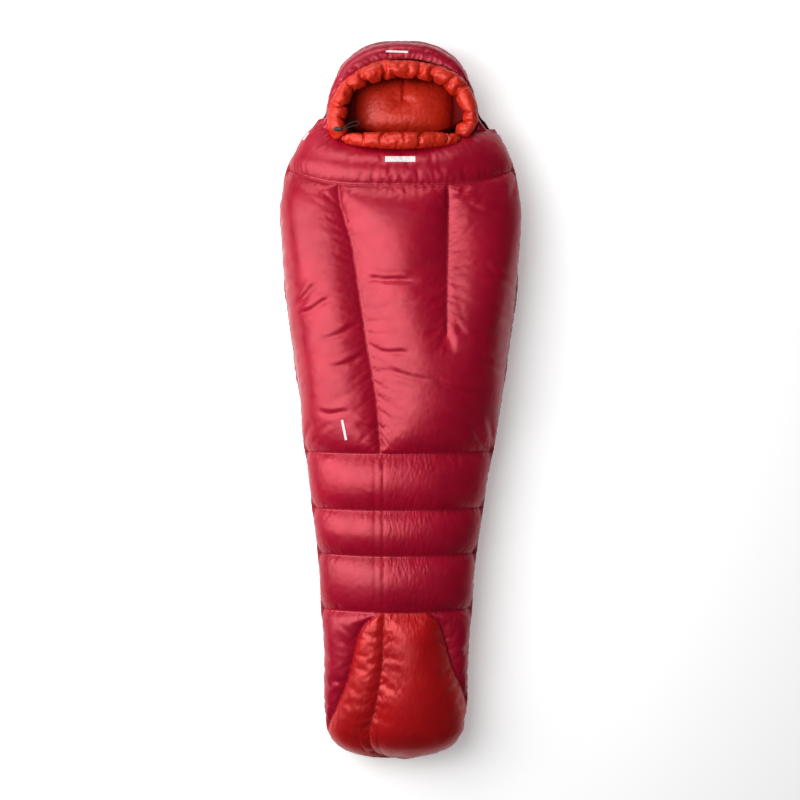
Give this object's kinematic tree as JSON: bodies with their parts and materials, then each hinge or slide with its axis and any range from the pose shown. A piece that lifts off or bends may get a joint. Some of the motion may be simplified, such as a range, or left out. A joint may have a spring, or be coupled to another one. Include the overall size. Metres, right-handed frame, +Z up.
{
  "type": "mummy sleeping bag",
  "caption": "Quilted mummy sleeping bag lying flat, with padded hood, face muff, side zip, fold-back cover corner and footbox.",
  "frame": {"origin": "centre of the footprint on the ground plane", "axes": "+Y to the hood, -Y to the feet, +X to the zip side, +Z up off the ground"},
  "size_m": [0.7252, 2.15, 0.2593],
  "materials": {
    "shell_crimson": "satin",
    "shell_dark": "satin",
    "lining_orange": "satin",
    "foot_panel_orange": "satin",
    "zip_tape": "matte",
    "zip_coil": "satin",
    "zip_metal": "satin",
    "lock_plastic": "matte",
    "cord": "matte",
    "label_white": "matte"
  },
  "bodies": {
    "base": {"back_baffle_1": "shell_dark", "back_baffle_2": "shell_dark", "back_baffle_3": "shell_dark", "back_baffle_4": "shell_dark", "back_baffle_5": "shell_dark", "back_baffle_6": "shell_dark", "footbox_sole": "shell_dark", "footbox_top": "foot_panel_orange", "footbox_gusset_left": "shell_dark", "footbox_gusset_right": "shell_dark", "yoke_left": "shell_crimson", "chest_left": "shell_crimson", "chest_centre_base": "shell_crimson", "leg_baffle_1_base": "shell_crimson", "leg_baffle_2_base": "shell_crimson", "leg_baffle_3": "shell_crimson", "lining_back": "lining_orange", "lining_cover_base": "lining_orange", "collar_left": "lining_orange", "zip_tape_lower": "zip_tape", "zip_coil_lower": "zip_coil", "zip_stop_bottom": "zip_metal", "zip_stop_top": "zip_metal", "cord_lock": "lock_plastic", "drawcord_loop": "cord", "hip_label": "label_white", "shoulder_label": "label_white"},
    "flap": {"yoke_right": "shell_crimson", "chest_centre_flap": "shell_crimson", "chest_right": "shell_crimson", "leg_baffle_1_flap": "shell_crimson", "leg_baffle_2_flap": "shell_crimson", "lining_cover_flap": "lining_orange", "collar_right": "lining_orange", "draft_tube": "lining_orange", "zip_tape_upper": "zip_tape", "zip_coil_upper": "zip_coil", "chest_label": "label_white"},
    "hood": {"hood_back": "shell_dark", "hood_left": "shell_dark", "hood_crown": "shell_dark", "hood_right": "shell_dark", "face_muff": "lining_orange", "hood_pillow": "lining_orange", "hood_label": "label_white"},
    "slider_top": {"slider_upper": "zip_metal", "bridge_upper": "zip_metal"},
    "puller_top": {"puller_ring_upper": "zip_metal", "puller_tab_upper": "lock_plastic"},
    "slider_foot": {"slider_lower": "zip_metal", "bridge_lower": "zip_metal"},
    "puller_foot": {"puller_ring_lower": "zip_metal", "puller_tab_lower": "lock_plastic"},
    "button": {"lock_button": "lock_plastic"}
  },
  "joints": [
    {"name": "cover_fold", "type": "hinge", "parent": "base", "child": "flap", "pos_m": [0.207, -0.465, 0.262], "axis": [0.2138, -0.9769, 0], "range_deg": [0, 150]},
    {"name": "hood_rise", "type": "hinge", "parent": "base", "child": "hood", "pos_m": [0, 0.805, 0.1], "axis": [1, 0, 0], "range_deg": [0, 12]},
    {"name": "top_slider_travel", "type": "hinge", "parent": "base", "child": "slider_top", "pos_m": [-1.16379, 0.41427, 0.1], "axis": [0, 0, -1], "range_deg": [0, 23.5]},
    {"name": "top_puller_swing", "type": "hinge", "parent": "slider_top", "child": "puller_top", "pos_m": [0.2951, 0.78638, 0.1], "axis": [0, 0, 1], "range_deg": [0, 178]},
    {"name": "foot_slider_travel", "type": "slide", "parent": "base", "child": "slider_foot", "axis": [0.1695, 0.9855, 0], "range_m": [0, 0.595]},
    {"name": "foot_puller_swing", "type": "hinge", "parent": "slider_foot", "child": "puller_foot", "pos_m": [0.21596, -0.44595, 0.1], "axis": [0, 0, -1], "range_deg": [0, 140]},
    {"name": "lock_button_press", "type": "slide", "parent": "base", "child": "button", "axis": [1, 0, 0], "range_m": [0, 0.003], "stiffness_N_per_m": 200}
  ]
}
